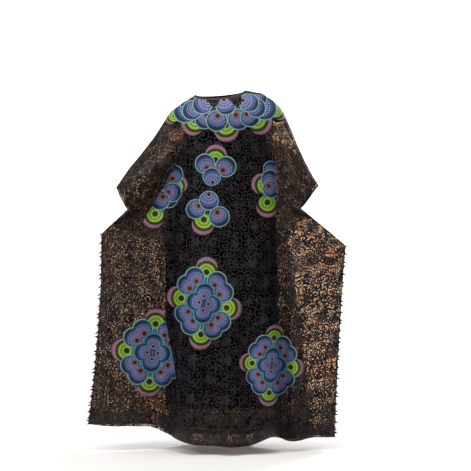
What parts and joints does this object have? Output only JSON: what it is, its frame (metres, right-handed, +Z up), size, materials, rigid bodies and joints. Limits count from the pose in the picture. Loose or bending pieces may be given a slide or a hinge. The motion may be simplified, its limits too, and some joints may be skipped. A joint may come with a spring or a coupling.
{
  "type": "robe",
  "caption": "Wide grand boubou robe in black corded lace with cut-out printed rosettes, a scalloped yoke and a plain lining, worn, with its side edges held out.",
  "frame": {"origin": "middle of the neck opening on the shoulder line, where the robe hangs from the wearer's shoulders", "axes": "+Z up, -Y out of the front of the robe, +X to the right as the front is seen"},
  "size_m": [1.1331, 0.49, 1.5063],
  "materials": {
    "lace": "matt black corded lace on net",
    "lace_border": "matt black lace, worked more closely along the hem",
    "binding": "folded black strip",
    "lining": "plain black lining with a faint sheen",
    "print": "smooth printed cotton, cut out and applied",
    "edging": "pointed eyelash lace edging"
  },
  "bodies": {
    "root": {"front": "lace", "back": "lace", "hem_border_front": "lace_border", "hem_border_back": "lace_border", "neck_binding_front": "binding", "neck_binding_back": "binding", "lining_front": "lining", "lining_back": "lining", "yoke_front": "print", "yoke_back": "print", "motif_chest": "print", "rosette_upper_left": "print", "rosette_upper_right": "print", "rosette_centre": "print", "rosette_lower_left": "print", "rosette_lower_right": "print", "edging_left": "edging", "edging_right": "edging"}
  },
  "joints": []
}
